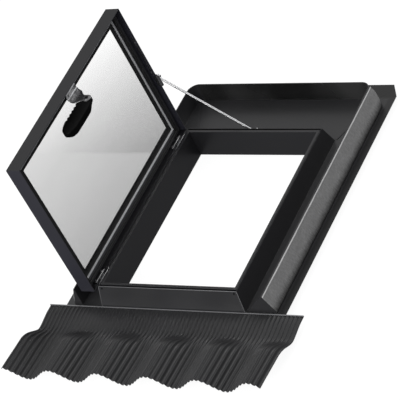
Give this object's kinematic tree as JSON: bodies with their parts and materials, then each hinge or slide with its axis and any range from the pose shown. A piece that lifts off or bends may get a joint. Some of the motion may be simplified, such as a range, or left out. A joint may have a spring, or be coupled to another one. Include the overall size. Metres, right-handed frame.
{
  "type": "roof hatch",
  "caption": "Glazed roof hatch open on its curb, with dark flashing tray, foam wedges, pleated apron, side hinges, stay rod and grip handle.",
  "frame": {"origin": "centre of the roof opening in the plane that the curb's feet stand on, which is the centre of the four fixing holes", "axes": "+X across the roof from the hinge side to the handle side, +Y up the slope from the apron to the head tray, +Z out of the roof"},
  "size_m": [0.815, 1.144, 0.5416],
  "materials": {
    "curb_coat": "powder-coated anthracite, satin",
    "plain_steel": "zinc-plated",
    "packing_wood": "sawn softwood",
    "flashing_coat": "coil-coated anthracite, semi-gloss",
    "foam": "grey open-cell foam, matte",
    "apron_coat": "pleated soft sheet, coated dark grey, satin",
    "trim_metal": "bright mill finish",
    "hem_metal": "coated mid-grey",
    "hinge_steel": "zinc-plated, bright",
    "lid_coat": "powder-coated blue-grey, satin",
    "glass": "clear float glass",
    "black_rubber": "black extruded rubber",
    "stay_steel": "zinc-plated, bright",
    "handle_steel": "satin",
    "grip_rubber": "black moulded grip, soft touch",
    "dark_steel": "blackened"
  },
  "bodies": {
    "frame": {"curb_sill": "curb_coat", "curb_jamb_right": "curb_coat", "curb_head": "curb_coat", "curb_jamb_left": "curb_coat", "corner_plate_front_right": "plain_steel", "corner_plate_back_right": "plain_steel", "corner_plate_back_left": "plain_steel", "corner_plate_front_left": "plain_steel", "packing_strip_left": "packing_wood", "packing_strip_right": "packing_wood", "flashing_head": "flashing_coat", "flashing_right": "flashing_coat", "flashing_sill": "flashing_coat", "flashing_left": "flashing_coat", "tray_seam_left": "flashing_coat", "tray_seam_right": "flashing_coat", "foam_wedge_left": "foam", "foam_wedge_right": "foam", "apron": "apron_coat", "apron_clamp": "hem_metal", "frame_screws": "dark_steel", "hinge_frame_leaf_lower": "hinge_steel", "hinge_pin_lower": "hinge_steel", "hinge_frame_leaf_upper": "hinge_steel", "hinge_pin_upper": "hinge_steel", "stay_seat": "flashing_coat"},
    "lid": {"lid_rail_bottom": "lid_coat", "lid_stile_free": "lid_coat", "lid_rail_top": "lid_coat", "lid_stile_hinge": "lid_coat", "glass_inner": "glass", "glass_outer": "glass", "glass_spacer": "trim_metal", "glazing_bead": "trim_metal", "glazing_gasket_inner": "black_rubber", "glazing_gasket_outer": "black_rubber", "weather_seal": "black_rubber", "hinge_lid_leaf_lower": "hinge_steel", "hinge_lid_leaf_upper": "hinge_steel", "stay_bracket": "stay_steel", "stay_pin": "stay_steel", "stay_strap": "stay_steel", "handle_bracket": "handle_steel", "lid_screws": "plain_steel"},
    "stay": {"stay_rod": "stay_steel"},
    "handle": {"handle_grip": "grip_rubber", "handle_pin": "dark_steel"}
  },
  "joints": [
    {"name": "lid_hinge", "type": "hinge", "parent": "frame", "child": "lid", "pos_m": [-0.2353, 0, 0.0741], "axis": [0, -1, 0], "range_deg": [-91, 0]},
    {"name": "stay_pivot", "type": "hinge", "parent": "lid", "child": "stay", "pos_m": [-0.24303, 0.322, 0.27625], "axis": [0, -1, 0], "range_deg": [0, 134]},
    {"name": "handle_turn", "type": "hinge", "parent": "lid", "child": "handle", "pos_m": [-0.20866, 0, 0.50168], "axis": [-0.0175, 0, 0.9998], "range_deg": [0, 45]}
  ],
  "couplings": [
    {"joint": "stay_pivot", "follows": "lid_hinge", "ratio": -1.4725}
  ]
}
